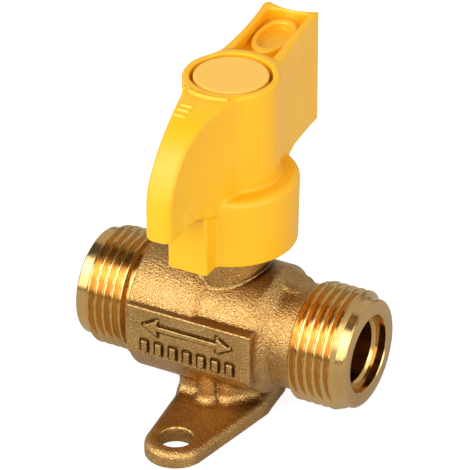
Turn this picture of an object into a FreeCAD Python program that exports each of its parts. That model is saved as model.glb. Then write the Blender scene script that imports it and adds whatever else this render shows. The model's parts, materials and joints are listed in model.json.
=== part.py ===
import FreeCAD, Part
import math
import os

V = FreeCAD.Vector

# Quarter-turn brass gas ball valve with a wall flange and a plastic lever, in millimetres.
# Origin: underside of the mounting flange, on the stem axis.  +Z up along the stem.
# The pipe runs along X.  The lever's nose points to -Y in the closed position shown here.

# ---- driving dimensions -------------------------------------------------------------------------
axis_height = 15.6        # pipe axis above the flange's underside
end_left = 24.2           # left end face, measured from the stem axis
end_right = 25.0          # right end face, measured from the stem axis

thread_r = 10.0           # M20 x 1.5 crest radius on both ends
thread_pitch = 1.5
thread_depth = 0.92
thread_crest = 0.30       # flat land left on each crest
lead_in_r = 9.0           # plain land between each end face and the first crest
lead_in_left = 2.1        # its length at the left end
lead_in_right = 1.7
end_chamfer = 0.4
crests_left = 5           # whole crests on the left end
crests_right = 6
counterbore_r = 6.4       # seat for the joint washer in each end face
counterbore_depth = 1.65
port_r = 5.3              # gas way in each end
throat_r = 4.3            # narrow part of the gas way beside each seat
throat_length = 4.0       # along the pipe, from the seat's back

collar_r = 9.2            # plain machined collar between the left thread and the casting
cast_left = -13.4         # where the rough casting starts, on the left
step_x = -2.2             # step from the left barrel to the middle barrel
mid_end = 9.4             # where the middle barrel ends
neck_start = 10.4         # foot of the slope down to the neck
seam_x = 14.9             # joint between the casting and the screwed end connector
barrel_wall = 3.75        # wall of the middle barrel, outside the cavity
barrel_step = 0.85        # the left barrel is larger by this
neck_wall = 1.3           # wall of the neck, outside the connector's shank
shoulder_slope = 0.6      # length of the slope from the middle barrel to the neck's foot
casting_round = 0.6       # edge rounding of the casting

ball_r = 6.75
ball_port_r = 4.0
slot_width = 2.8          # drive slot across the top of the ball
slot_floor = 4.7          # height of the slot's floor above the pipe axis
cavity_room = 0.25        # room for the ball in the body's bore, along the radius
seat_depth = 2.45         # from the ball's side to each seat's back, along the pipe
seat_front = 4.35         # distance of each seat's front rim from the stem axis
seat_bore_r = 4.3
seat_heel = 1.0           # length of the reduced heel that carries the backing ring
backing_ring_section = 1.0

shank_step = 0.45         # the connector's M15 x 1 shank is larger than the cavity by this
connector_chamfer = 0.4
connector_groove_depth = 0.9
connector_groove_width = 1.1
connector_groove_from_seam = 2.2

boss_r = 6.4              # round boss that holds the stem
boss_top = 21.0           # above the pipe axis
stem_r = 3.5
stem_collar_step = 0.9    # the collar is larger than the stem by this
stem_collar_height = 2.25 # its top above the ball
washer_thick = 0.8        # slip washer over the stem's collar
stem_groove_depth = 1.2
stem_groove_heights = (12.4, 16.6)   # lower edges above the pipe axis
drive_flat = 2.5          # half the distance across the two drive flats
drive_bottom = 22.0
drive_top = 30.0
stop_lug_r = 8.7          # outer radius of the stop lug on the boss
stop_lug_bottom = 17.2
stop_lug_top = 20.2
stop_half_angle = 13.0    # degrees
stop_centre = 60.0        # degrees from +X, on the casting

plate_left = -13.0        # marking plate on the -Y side of the casting
plate_right = 9.6
plate_proud = 0.3         # its face stands this far in front of the left barrel
plate_top = 4.9
plate_bottom = -4.7
plate_bevel = 0.9
plate_foot_drop = 1.5     # the plate's root reaches this far below its lower edge
plate_foot_in = 4.5       # and starts this far behind its face
plate_lip = 0.2           # fall of the lower edge behind the bevel
plate_root = 0.5          # how far raised marks and lugs are rooted in what carries them
mark_raise = 0.35         # height of the raised flow mark
arrow_half = 8.0          # half the length of the double-headed flow arrow
arrow_head = 2.6
arrow_head_half = 1.5
arrow_shaft_half = 0.45
arrow_height = 1.9        # centre of the arrow above the pipe axis
bar_count = 7             # plain raised bars under the arrow
bar_pitch = 2.6
bar_width = 1.1
bar_bottom = -3.1
bar_top = -1.0

pad_front = -1.6          # locating pad on the neck's crown, a little towards +Y
pad_back = 4.0
pad_end = 13.2
pad_raise = 1.0           # above the neck
pad_slope = 0.7           # fall of its top towards its end
pad_round = 0.6

flange_thick = 2.9
ear_y = 18.75             # each mounting hole's distance from the stem axis
ear_r = 5.1
hole_r = 2.8
flange_half_width = 7.9   # at its widest
flange_widest_y = 2.0     # the +X side is widest this far towards -Y, the -X side this far towards +Y
flange_round = 1.3
pedestal_left = 6.8       # block between the barrel and the flange
pedestal_right = 2.6
pedestal_right_deep = 6.4
pedestal_half_y = 6.0
pedestal_corner = 0.8      # corner cut off each end of the block
pillar_x = -1.0           # half-round pillars on the block's two long sides
pillar_r = 1.6
pillar_foot = 1.5         # extra radius and height of the pillar's flared foot
pillar_sink = 0.1         # depth of the flare's foot in the flange

skirt_bottom = 15.4       # above the pipe axis
skirt_top = 27.3
skirt_r_bottom = 10.7
skirt_r_top = 11.0
skirt_wall = 1.5
skirt_roof = 22.6         # underside of the solid hub
skirt_round = 1.2
handle_top = 44.5
hub_rim = 1.15            # wall round the cap's recess
nose_tip = 24.5           # reach of the nose from the stem axis
nose_tip_half = 2.3
nose_tip_round = 1.5
nose_root_half = 4.9      # half width where the nose leaves the hub
nose_flat = 0.7           # level part of the nose, out from the hub
nose_slope_drop = 15.0
nose_under = 26.2         # underside of the nose at its tip
nose_under_reach = 5.0    # length of its level underside, out from the skirt
nose_waist_shift = 1.4    # the waist lies this far behind the middle of the nose
nose_waist_share = 0.23   # part of the taper that is left at the waist
tail_lean = 6.2           # degrees that the tail leans off the lever's centre line
tail_shift = 0.45         # and lies this far off it towards +X
tail_end = 25.4
tail_end_half = 4.8
tail_waist = 15.0
tail_waist_half = 4.7
tail_root_flare = 0.6     # extra half width at the hub
tail_under_reach = 3.5    # length of its level underside, out from the skirt
tail_hollow = 0.5         # depth of the concave end face
tail_under = 24.4         # underside of the tail at its end
tail_under_root = 25.0    # and where it meets the skirt
grip_under = 26.6         # underside of nose and hub where they meet the skirt
grip_sink = 3.0           # how deep nose, tail and lug are sunk into the skirt
lug_left = -4.0           # the lug is a little wider on its left
lug_right = 3.0
lug_reach = 13.9
lug_below_top = 0.5       # the lug stops this far below the skirt's top
lug_round = 0.5
recess_depth = 2.6
recess_wall = 1.2
recess_to_hub = 0.6       # wall left between the recess and the hub
oval_y = 17.6             # plain oval ring raised from the recess's floor: its centre
oval_half_x = 2.6
oval_half_y = 5.2
oval_width = 0.9
oval_raise = 1.3
core_half = 1.7           # moulding cores in the undersides of nose and tail
core_wall = 2.2
core_tail_extra = 0.7     # the tail's core is wider by this on each side
arrow_raise = 0.5         # raised turning arrow on the nose, in front of the cap
arrow_outset = 0.45       # its inner edge lies this far outside the hub's edge
arrow_width = 0.65
arrow_start = 244.0       # degrees from +X
arrow_end = 298.0
turn_head_half = 0.7      # half the width of its head
turn_head_angle = 8.0     # the head's length, in degrees

stop_rib_angle = 24.0     # each of the two ribs that meet the stop lug, in degrees
stop_rib_drop = 0.8       # they reach this far below the lug's underside

socket_roof = 30.4        # top of the drive socket, above the pipe axis
handle_floor = 32.4       # seat of the screw's washer
well_r = 4.2
cap_r = 6.05
cap_thick = 2.6
cap_plug_depth = 3.2
cap_plug_wall = 1.0
cap_round = 0.3
screw_r = 1.5             # M3 pan-head screw
screw_length = 9.0
screw_head_r = 2.75
screw_head_height = 2.1
screw_head_round = 0.7
screw_slot_half = 0.4     # cross recess: half its width, half its length and its depth
screw_slot_reach = 1.7
screw_slot_depth = 1.2
screw_hole_r = 1.7
plain_washer_r = 3.5
plain_washer_thick = 0.5

# ---- clearances ---------------------------------------------------------------------------------
ball_gap = 0.05           # ball to seat, along the radius
seat_gap = 0.03           # seat to cavity
ring_gap = 0.10           # each stem seal in its groove, along the stem
tang_gap = 0.10           # stem tang to ball slot, each side
stem_gap = 0.05           # stem to casting, radial
collar_gap = 0.10         # stem collar to its pocket, radial
running_gap = 0.30        # between pieces that pass each other
socket_gap = 0.05         # drive socket to stem
thread_gap = 0.05         # screwed fits
plug_gap = 0.05           # cap plug in its well
cap_gap = 0.60            # visible groove round the cap
stop_gap = 2.0            # degrees of play at each stop
rib_gap = 0.5             # stop ribs to the boss, radial

# ---- derived values -----------------------------------------------------------------------------
cavity_r = ball_r + cavity_room
connector_shank_r = cavity_r + shank_step
shank_hole_r = connector_shank_r + thread_gap
neck_r = shank_hole_r + neck_wall
barrel_mid_r = cavity_r + barrel_wall
barrel_left_r = barrel_mid_r + barrel_step
plate_front = barrel_left_r + plate_proud
pad_top = neck_r + pad_raise
seat_back = ball_r + seat_depth
stem_collar_r = stem_r + stem_collar_step
stem_collar_top = ball_r + stem_collar_height
stem_groove_r = stem_r - stem_groove_depth
stem_groove_width = stem_groove_depth + ring_gap
cap_seat = handle_top - cap_thick
cap_recess_r = cap_r + cap_gap
hub_r = cap_recess_r + hub_rim
nose_slope_start = hub_r + nose_flat
arrow_r_in = hub_r + arrow_outset
arrow_r_out = arrow_r_in + arrow_width
pocket_r = stem_collar_r + collar_gap
pocket_roof = stem_collar_top + running_gap / 2 + washer_thick
sweep = 90.0              # degrees from closed to open
over = 1.0                # how far a cut runs past the face that it opens
embed = 0.5               # overlap of two shapes that become one piece


# ---- small helpers ------------------------------------------------------------------------------
def tube_z(r, z0, z1, x=0.0, y=0.0):
    return Part.makeCylinder(r, z1 - z0, V(x, y, axis_height + z0), V(0, 0, 1))


def rod_x(r, x0, x1):
    return Part.makeCylinder(r, x1 - x0, V(x0, 0, axis_height), V(1, 0, 0))


def rod_y(r, y0, y1, x=0.0, z=0.0):
    return Part.makeCylinder(r, y1 - y0, V(x, y0, axis_height + z), V(0, 1, 0))


def block(x0, x1, y0, y1, z0, z1):
    return Part.makeBox(x1 - x0, y1 - y0, z1 - z0, V(x0, y0, axis_height + z0))


def lathe_x(profile):
    """Solid of revolution about the pipe axis from (x, r) points that start and end at r = 0."""
    points = [V(x, 0, axis_height + r) for x, r in profile]
    face = Part.Face(Part.makePolygon(points + points[:1]))
    return face.revolve(V(0, 0, axis_height), V(1, 0, 0), 360)


def lathe_z(profile):
    """Solid of revolution about the stem axis from (r, z) points, z above the pipe axis."""
    points = [V(r, 0, axis_height + z) for r, z in profile]
    face = Part.Face(Part.makePolygon(points + points[:1]))
    return face.revolve(V(0, 0, 0), V(0, 0, 1), 360)


def ring_x(r_out, r_in, x0, x1):
    return rod_x(r_out, x0, x1).cut(rod_x(r_in, x0 - 1, x1 + 1))


def ring_z(r_out, r_in, z0, z1):
    return tube_z(r_out, z0, z1).cut(tube_z(r_in, z0 - 1, z1 + 1))


def sector(r, z0, z1, start, end):
    """Wedge of a cylinder about the stem axis between two angles in degrees."""
    wedge = Part.makeCylinder(r, z1 - z0, V(0, 0, axis_height + z0), V(0, 0, 1), end - start)
    wedge.rotate(V(0, 0, 0), V(0, 0, 1), start)
    return wedge


def extrude_xy(wire_edges, z0, z1):
    face = Part.Face(Part.Wire(wire_edges))
    face.translate(V(0, 0, axis_height + z0))
    return face.extrude(V(0, 0, z1 - z0))


def line(p, q):
    return Part.LineSegment(V(*p), V(*q)).toShape()


def arc(p, q, r):
    return Part.Arc(V(*p), V(*q), V(*r)).toShape()


def tangent_point(corner, centre, turn):
    """Where a line from a corner touches the ear's circle, on the side that turn (1 or -1) names."""
    dx = corner[0] - centre[0]
    dy = corner[1] - centre[1]
    angle = math.atan2(dy, dx) + turn * math.acos(ear_r / math.hypot(dx, dy))
    return centre[0] + ear_r * math.cos(angle), centre[1] + ear_r * math.sin(angle)


def lean(shape):
    """Turn a feature of the tail to where the tail leans."""
    turned = shape.copy()
    turned.translate(V(tail_shift, 0, 0))
    turned.rotate(V(0, 0, 0), V(0, 0, 1), tail_lean)
    return turned


def thread_outline(x_end, direction, lead_in, count):
    """(x, r) points of a ringed thread from its end face back to the flank of its last crest."""
    flank = (thread_pitch - thread_crest) / 2
    root = thread_r - thread_depth
    offsets = [(0, 0), (0, lead_in_r - end_chamfer), (end_chamfer, lead_in_r), (lead_in, lead_in_r)]
    start = lead_in + flank
    for i in range(count):
        crest = start + i * thread_pitch
        offsets.append((crest, thread_r))
        offsets.append((crest + thread_crest, thread_r))
        offsets.append((crest + thread_crest + flank, root))
    return [(x_end - direction * x, r) for x, r in offsets]


# ---- casting ------------------------------------------------------------------------------------
def body_barrel():
    c = casting_round
    thread = thread_outline(-end_left, -1, lead_in_left, crests_left)
    collar_start = thread[-1][0]
    shell = [(collar_start, collar_r),
             (cast_left, collar_r),
             (cast_left, barrel_left_r - c),
             (cast_left + c, barrel_left_r),
             (step_x - c, barrel_left_r),
             (step_x + c, barrel_mid_r),
             (mid_end, barrel_mid_r),
             (mid_end + shoulder_slope, barrel_mid_r - c),
             (neck_start, neck_r),
             (seam_x - c / 2, neck_r),
             (seam_x, neck_r - c / 2),
             (seam_x, 0)]
    return lathe_x(thread[:-1] + shell)


def flange():
    """Rhombic plate with a rounded ear at each end and its upper rim rounded."""
    edges = []
    for side in (1, -1):
        ear = (0, side * ear_y)
        right = (side * flange_half_width, -side * flange_widest_y)
        left = (-side * flange_half_width, side * flange_widest_y)
        near = tangent_point(right, ear, 1)
        far = tangent_point(left, ear, -1)
        edges.append(line((*right, 0), (*near, 0)))
        edges.append(arc((*near, 0), (0, side * (ear_y + ear_r), 0), (*far, 0)))
        edges.append(line((*far, 0), (*left, 0)))
    plate = extrude_xy(edges, -axis_height, -axis_height + flange_thick)
    rim = [e for e in plate.Edges if e.BoundBox.ZMin > flange_thick - 1e-6]
    return plate.makeFillet(flange_round, rim)


def pedestal():
    """Block whose plan is cut back on opposite corners, with a flared half-round pillar on each side."""
    foot = -axis_height + flange_thick / 2
    y = pedestal_half_y
    mid = pedestal_right
    k = pedestal_corner
    plan = [(-pedestal_left, -y + k), (-pedestal_left + k, -y), (mid, -y),
            (pedestal_right_deep, -y / 3), (pedestal_left, y - k), (pedestal_left - k, y),
            (-mid, y), (-pedestal_right_deep, y / 3)]
    edges = [line((*p, 0), (*q, 0)) for p, q in zip(plan, plan[1:] + plan[:1])]
    shape = extrude_xy(edges, foot, 0)
    top = -axis_height + flange_thick
    for side in (1, -1):
        x = side * -pillar_x
        shape = shape.fuse(tube_z(pillar_r, foot, 0, x, side * y))
        flare = Part.makeCone(pillar_r + pillar_foot, pillar_r, pillar_foot,
                              V(x, side * y, axis_height + top - pillar_sink), V(0, 0, 1))
        shape = shape.fuse(flare)
    return shape


def marking_plate():
    """Bevelled plate whose outline is drawn in the YZ plane and swept along the pipe."""
    y = -plate_front
    b = plate_bevel
    points = [(y, plate_bottom + b), (y, plate_top), (0, plate_top), (0, plate_bottom - plate_foot_drop),
              (y + plate_foot_in, plate_bottom - plate_foot_drop), (y + b, plate_bottom - plate_lip)]
    face = Part.Face(Part.makePolygon([V(0, p, axis_height + q) for p, q in points + points[:1]]))
    plate = face.extrude(V(plate_right - plate_left, 0, 0))
    plate.translate(V(plate_left, 0, 0))
    return plate


def flow_mark():
    """Raised double-headed flow arrow over a row of plain bars."""
    centre_x = (plate_left + plate_right) / 2
    neck = arrow_half - arrow_head
    outline = [(-arrow_half, 0), (-neck, arrow_head_half), (-neck, arrow_shaft_half),
               (neck, arrow_shaft_half), (neck, arrow_head_half), (arrow_half, 0),
               (neck, -arrow_head_half), (neck, -arrow_shaft_half),
               (-neck, -arrow_shaft_half), (-neck, -arrow_head_half)]
    back = -plate_front + plate_root
    z = axis_height + arrow_height
    points = [V(centre_x + px, back, z + pz) for px, pz in outline]
    mark = Part.Face(Part.makePolygon(points + points[:1]))
    mark = mark.extrude(V(0, -plate_root - mark_raise, 0))
    for i in range(bar_count):
        x = centre_x + (i - (bar_count - 1) / 2) * bar_pitch
        mark = mark.fuse(block(x - bar_width / 2, x + bar_width / 2,
                               -plate_front - mark_raise, back, bar_bottom, bar_top))
    return mark


def pad():
    """Rounded locating pad on the neck, its top falling a little towards the seam."""
    start = mid_end - over
    low = neck_r - 2 * over
    points = [(start, low), (pad_end, low), (pad_end, pad_top - pad_slope), (start, pad_top)]
    face = Part.Face(Part.makePolygon([V(x, pad_front, axis_height + z) for x, z in points + points[:1]]))
    shape = face.extrude(V(0, pad_back - pad_front, 0))
    rim = [e for e in shape.Edges if e.BoundBox.ZMax > axis_height + pad_top - pad_slope - 1e-3
           and e.BoundBox.XMax > pad_end - 1e-3]
    return shape.makeFillet(pad_round, rim)


def body_cavity():
    """Everything that is hollow inside the casting."""
    end = -end_left
    throat_end = -seat_back - throat_length
    cut = rod_x(counterbore_r, end - over, end + counterbore_depth)
    cut = cut.fuse(rod_x(port_r, end - over, throat_end))
    cut = cut.fuse(rod_x(throat_r, throat_end - over, 0))
    cut = cut.fuse(rod_x(cavity_r, -seat_back, seat_back + over))
    cut = cut.fuse(rod_x(shank_hole_r, seat_back, seam_x + over))
    cut = cut.fuse(tube_z(pocket_r, 0, pocket_roof))
    cut = cut.fuse(tube_z(stem_r + stem_gap, 0, boss_top + over))
    return cut


def stop_lug():
    lug = sector(stop_lug_r, stop_lug_bottom, stop_lug_top,
                 stop_centre - stop_half_angle, stop_centre + stop_half_angle)
    return lug.cut(tube_z(boss_r - plate_root, stop_lug_bottom - over, stop_lug_top + over))


def valve_body():
    shape = body_barrel()
    boss = tube_z(boss_r, 0, boss_top)
    shape = shape.fuse([boss, stop_lug(), flange(), pedestal(), marking_plate(), pad()])
    shape = shape.fuse(flow_mark())
    shape = shape.cut(body_cavity())
    for side in (1, -1):
        shape = shape.cut(tube_z(hole_r, -axis_height - over, 0, 0, side * ear_y))
    return shape.removeSplitter()


# ---- screwed end connector and seals ------------------------------------------------------------
def groove_x():
    start = seam_x - connector_groove_from_seam
    return start, start + connector_groove_width


def end_connector():
    thread = thread_outline(end_right, 1, lead_in_right, crests_right)
    behind = [(x, r) for x, r in thread if x > seam_x]
    shape = lathe_x(behind + [(seam_x, thread_r - thread_depth),
                              (seam_x, connector_shank_r),
                              (seat_back + connector_chamfer, connector_shank_r),
                              (seat_back, connector_shank_r - connector_chamfer),
                              (seat_back, 0)])
    start, end = groove_x()
    groove_floor = connector_shank_r - connector_groove_depth
    shape = shape.cut(ring_x(connector_shank_r + over, groove_floor, start, end))
    throat_end = seat_back + throat_length
    shape = shape.cut(rod_x(counterbore_r, end_right - counterbore_depth, end_right + over))
    shape = shape.cut(rod_x(port_r, throat_end, end_right + over))
    return shape.cut(rod_x(throat_r, seat_back - over, throat_end + over))


def connector_o_ring():
    start, end = groove_x()
    minor = connector_groove_depth / 2
    return Part.makeTorus(connector_shank_r - minor, minor, V((start + end) / 2, 0, axis_height), V(1, 0, 0))


def seat(side):
    r_out = cavity_r - seat_gap
    heel_r = r_out - backing_ring_section
    x0 = seat_front
    x1 = seat_back
    profile = [(side * x0, 0), (side * x0, r_out), (side * (x1 - seat_heel), r_out),
               (side * (x1 - seat_heel), heel_r), (side * x1, heel_r), (side * x1, 0)]
    shape = lathe_x(profile)
    ball_space = Part.makeSphere(ball_r + ball_gap, V(0, 0, axis_height))
    shape = shape.cut(ball_space)
    x_low, x_high = sorted((side * (x0 - 1), side * (x1 + 1)))
    return shape.cut(rod_x(seat_bore_r, x_low, x_high))


def seat_backing_ring(side):
    minor = backing_ring_section / 2
    major = cavity_r - seat_gap - minor
    return Part.makeTorus(major, minor, V(side * (seat_back - minor), 0, axis_height), V(1, 0, 0))


# ---- ball and stem ------------------------------------------------------------------------------
def ball():
    shape = Part.makeSphere(ball_r, V(0, 0, axis_height))
    shape = shape.cut(rod_y(ball_port_r, -ball_r - over, ball_r + over))
    half = slot_width / 2
    shape = shape.cut(block(-ball_r - over, ball_r + over, -half, half, slot_floor, ball_r + over))
    return shape


def drive_section(r, flat, z0, z1):
    """Round bar with two flats that face +X and -X."""
    return tube_z(r, z0, z1).common(block(-flat, flat, -r - over, r + over, z0, z1))


def stem():
    collar_bottom = ball_r + running_gap
    tang_half = slot_width / 2 - tang_gap
    tang_bottom = slot_floor + running_gap
    shape = tube_z(stem_r, collar_bottom, drive_bottom)
    shape = shape.fuse(tube_z(stem_collar_r, collar_bottom, stem_collar_top))
    tang_top = collar_bottom + embed
    tang = tube_z(seat_front - running_gap, tang_bottom, tang_top)
    tang = tang.common(block(-ball_r, ball_r, -tang_half, tang_half, tang_bottom, tang_top))
    shape = shape.fuse(tang)
    shape = shape.fuse(drive_section(stem_r, drive_flat, drive_bottom - embed, drive_top))
    for z in stem_groove_heights:
        shape = shape.cut(ring_z(stem_r + over, stem_groove_r, z, z + stem_groove_width))
    shape = shape.cut(tube_z(screw_r + thread_gap, drive_top - screw_length, drive_top + over))
    return shape


def stem_o_ring(z):
    minor = (stem_r - stem_groove_r) / 2
    centre = V(0, 0, axis_height + z + stem_groove_width / 2)
    return Part.makeTorus(stem_groove_r + minor, minor, centre, V(0, 0, 1))


def thrust_washer():
    z0 = stem_collar_top + running_gap / 2
    return ring_z(stem_collar_r, stem_r + stem_gap, z0, z0 + washer_thick)


# ---- lever --------------------------------------------------------------------------------------
def nose_plan():
    """Nose seen from above: a waisted blade with a rounded tip, from the stem axis to -Y."""
    r = nose_tip_round
    tip = nose_tip - r
    k = r * (1 - math.sqrt(0.5))
    waist_y = -(hub_r + nose_tip) / 2 + nose_waist_shift
    waist = nose_tip_half + nose_waist_share * (nose_root_half - nose_tip_half)
    root_y = -math.sqrt(hub_r ** 2 - nose_root_half ** 2)
    edges = [line((-nose_root_half, 0, 0), (nose_root_half, 0, 0))]
    for side in (1, -1):
        edges.append(line((side * nose_root_half, 0, 0), (side * nose_root_half, root_y, 0)))
        edges.append(arc((side * nose_root_half, root_y, 0), (side * waist, waist_y, 0),
                         (side * nose_tip_half, -tip, 0)))
        edges.append(arc((side * nose_tip_half, -tip, 0), (side * (nose_tip_half - k), -nose_tip + k, 0),
                         (side * (nose_tip_half - r), -nose_tip, 0)))
    edges.append(line((nose_tip_half - r, -nose_tip, 0), (r - nose_tip_half, -nose_tip, 0)))
    return edges


def tail_plan():
    """Tail seen from above, before it leans: a waisted blade with a slightly hollow end."""
    root = tail_waist_half + tail_root_flare
    root_y = hub_r - embed
    corner = (tail_end_half, tail_end, 0)
    mirrored = (-tail_end_half, tail_end, 0)
    return [line((-root, 0, 0), (root, 0, 0)),
            line((root, 0, 0), (root, root_y, 0)),
            arc((root, root_y, 0), (tail_waist_half, tail_waist, 0), corner),
            arc(corner, (0, tail_end - tail_hollow, 0), mirrored),
            arc(mirrored, (-tail_waist_half, tail_waist, 0), (-root, root_y, 0)),
            line((-root, root_y, 0), (-root, 0, 0))]


def grip():
    """Nose, hub and tail: the plan outlines trimmed by the side profiles."""
    low = skirt_roof
    nose = extrude_xy(Part.__sortEdges__(nose_plan()), low, handle_top).common(nose_profile())
    tail = lean(extrude_xy(tail_plan(), low, handle_top).common(tail_profile()))
    return tube_z(hub_r, grip_under, handle_top).fuse([nose, tail])


def sweep_x(edges):
    """Solid from a closed outline in the YZ plane, wide enough to cover the whole lever."""
    wide = hub_r + over
    face = Part.Face(Part.Wire(Part.__sortEdges__(edges)))
    face.translate(V(-wide, 0, axis_height))
    return face.extrude(V(2 * wide, 0, 0))


def nose_profile():
    """Side view of the nose: a quarter ellipse from the flat top down to the upright tip."""
    low = handle_top - nose_slope_drop
    reach = nose_tip - nose_slope_start
    under = skirt_r_top + nose_under_reach
    sunk = skirt_top - grip_sink
    quarter = Part.Ellipse(V(0, 0, 0), max(reach, nose_slope_drop), min(reach, nose_slope_drop))
    turn = math.pi / 2
    if reach >= nose_slope_drop:
        curve = quarter.toShape(turn, 2 * turn)
        to_yz = FreeCAD.Matrix(0, 0, 1, 0, 1, 0, 0, -nose_slope_start, 0, 1, 0, low, 0, 0, 0, 1)
    else:
        curve = quarter.toShape(0, turn)
        to_yz = FreeCAD.Matrix(0, 0, 1, 0, 0, -1, 0, -nose_slope_start, 1, 0, 0, low, 0, 0, 0, 1)
    curve = curve.transformGeometry(to_yz)
    start = (0, -nose_slope_start, handle_top)
    tip = (0, -nose_tip, low)
    chain = [tip, (0, -nose_tip, nose_under), (0, -under, grip_under),
             (0, grip_sink - skirt_r_top, sunk), (0, 0, sunk), (0, 0, handle_top), start]
    return sweep_x([curve] + [line(p, q) for p, q in zip(chain, chain[1:])])


def tail_profile():
    """Side view of the tail: flat on top, with an underside that falls towards its end."""
    sunk = skirt_top - grip_sink
    end = tail_end + over
    chain = [(0, 0, handle_top), (0, end, handle_top), (0, end, tail_under),
             (0, tail_end, tail_under), (0, skirt_r_top + tail_under_reach, tail_under_root),
             (0, skirt_r_top - grip_sink, sunk), (0, 0, sunk)]
    return sweep_x([line(p, q) for p, q in zip(chain, chain[1:] + chain[:1])])


def skirt():
    r0 = skirt_r_bottom
    r1 = skirt_r_top
    shape = lathe_z([(0, skirt_bottom), (r0, skirt_bottom), (r1, skirt_top), (0, skirt_top)])
    rim = [e for e in shape.Edges if abs(e.BoundBox.ZMin - axis_height - skirt_top) < 1e-6
           and e.BoundBox.XLength > r1]
    return shape.makeFillet(skirt_round, rim)


def skirt_hollow():
    """Room for the boss, less the two ribs that meet the stop lug."""
    inner = skirt_r_bottom - skirt_wall
    hollow = tube_z(inner, skirt_bottom - over, skirt_roof)
    rib_in = boss_r + rib_gap
    rib_low = stop_lug_bottom - stop_rib_drop
    closed_side = stop_centre + stop_half_angle + stop_gap
    open_side = stop_centre - stop_half_angle - sweep - stop_gap
    for start in (closed_side, open_side - stop_rib_angle):
        rib = sector(inner + over, rib_low, skirt_roof + over, start, start + stop_rib_angle)
        hollow = hollow.cut(rib.cut(tube_z(rib_in, rib_low - over, skirt_roof + 2 * over)))
    return hollow


def oval(half_x, half_y, z0, z1):
    shape = Part.Face(Part.Wire(Part.Ellipse(V(0, 0, 0), half_y, half_x).toShape()))
    shape.rotate(V(0, 0, 0), V(0, 0, 1), 90)
    shape.translate(V(0, oval_y, axis_height + z0))
    return shape.extrude(V(0, 0, z1 - z0))


def tail_recess():
    """Shallow tray in the tail's top, round the hub at one end, with a plain raised ring on its floor."""
    end = tail_end - tail_hollow - recess_wall
    half = tail_waist_half - recess_wall
    floor = handle_top - recess_depth
    top = floor + oval_raise
    tray = block(-half, half, 0, end, floor, handle_top + over)
    tray = tray.cut(tube_z(hub_r + recess_to_hub, floor - over, handle_top + 2 * over))
    ring = oval(oval_half_x, oval_half_y, floor - over, top)
    ring = ring.cut(oval(oval_half_x - oval_width, oval_half_y - oval_width, floor - 2 * over, top + over))
    return lean(tray.cut(ring))


def moulding_cores():
    """Pockets in the undersides of the nose and the tail."""
    low = skirt_roof
    nose = block(-core_half, core_half, -nose_tip + core_wall + nose_tip_half,
                 -lug_reach - core_wall, low, handle_top - nose_slope_drop + over)
    half = core_half + core_tail_extra
    tail = block(-half, half, skirt_r_top + core_wall + lug_round, tail_end - tail_hollow - core_wall,
                 low, handle_top - recess_depth - core_wall)
    return nose.fuse(lean(tail))


def turning_arrow():
    """Raised arc with a head at its end, on the level part of the nose in front of the hub."""
    low = handle_top - arrow_raise
    high = handle_top + arrow_raise
    band = sector(arrow_r_out, low, high, arrow_start, arrow_end)
    band = band.cut(tube_z(arrow_r_in, low - over, high + over))
    middle = (arrow_r_in + arrow_r_out) / 2
    corners = []
    for r, angle in ((middle - turn_head_half, arrow_start), (middle + turn_head_half, arrow_start),
                     (middle, arrow_start - turn_head_angle)):
        turned = math.radians(angle)
        corners.append(V(r * math.cos(turned), r * math.sin(turned), axis_height + low))
    head = Part.Face(Part.makePolygon(corners + corners[:1])).extrude(V(0, 0, high - low))
    head = head.cut(tube_z(cap_recess_r, low - over, high + over))
    return band.fuse(head)


def lug():
    body = block(lug_left, lug_right, -lug_reach, grip_sink - skirt_r_bottom,
                 skirt_bottom, skirt_top - lug_below_top)
    upright = [e for e in body.Edges if e.BoundBox.ZLength > 1e-3 and e.BoundBox.YMax < -lug_reach + 1e-3
               and e.BoundBox.XLength < 1e-3]
    return body.makeFillet(lug_round, upright)


def handle():
    shape = grip().fuse([skirt(), lug()])
    shape = shape.cut(skirt_hollow())
    shape = shape.cut(drive_section(stem_r + socket_gap, drive_flat + socket_gap,
                                    skirt_roof - over, socket_roof))
    shape = shape.cut(tube_z(screw_hole_r, socket_roof - over, handle_floor + over))
    shape = shape.cut(tube_z(well_r, handle_floor, handle_top + over))
    shape = shape.cut(tube_z(cap_recess_r, cap_seat, handle_top + over))
    shape = shape.cut(tail_recess())
    shape = shape.cut(moulding_cores())
    return shape.fuse(turning_arrow()).removeSplitter()


def handle_cap():
    shape = tube_z(cap_r, cap_seat, handle_top)
    rim = [e for e in shape.Edges if abs(e.BoundBox.ZMin - axis_height - handle_top) < 1e-6]
    shape = shape.makeFillet(cap_round, rim)
    plug_r = well_r - plug_gap
    plug_low = cap_seat - cap_plug_depth
    return shape.fuse(ring_z(plug_r, plug_r - cap_plug_wall, plug_low, cap_seat + embed))


def screw_washer():
    return ring_z(plain_washer_r, screw_hole_r, handle_floor, handle_floor + plain_washer_thick)


def handle_screw():
    seat_z = handle_floor + plain_washer_thick
    shape = tube_z(screw_r, seat_z - screw_length, seat_z + embed)
    head = tube_z(screw_head_r, seat_z, seat_z + screw_head_height)
    top = seat_z + screw_head_height
    rim = [e for e in head.Edges if abs(e.BoundBox.ZMin - axis_height - top) < 1e-6]
    shape = shape.fuse(head.makeFillet(screw_head_round, rim))
    reach = screw_slot_reach
    for turned in (45, 135):
        slot = block(-reach, reach, -screw_slot_half, screw_slot_half, top - screw_slot_depth, top + over)
        slot.rotate(V(0, 0, 0), V(0, 0, 1), turned)
        shape = shape.cut(slot)
    return shape


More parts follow.
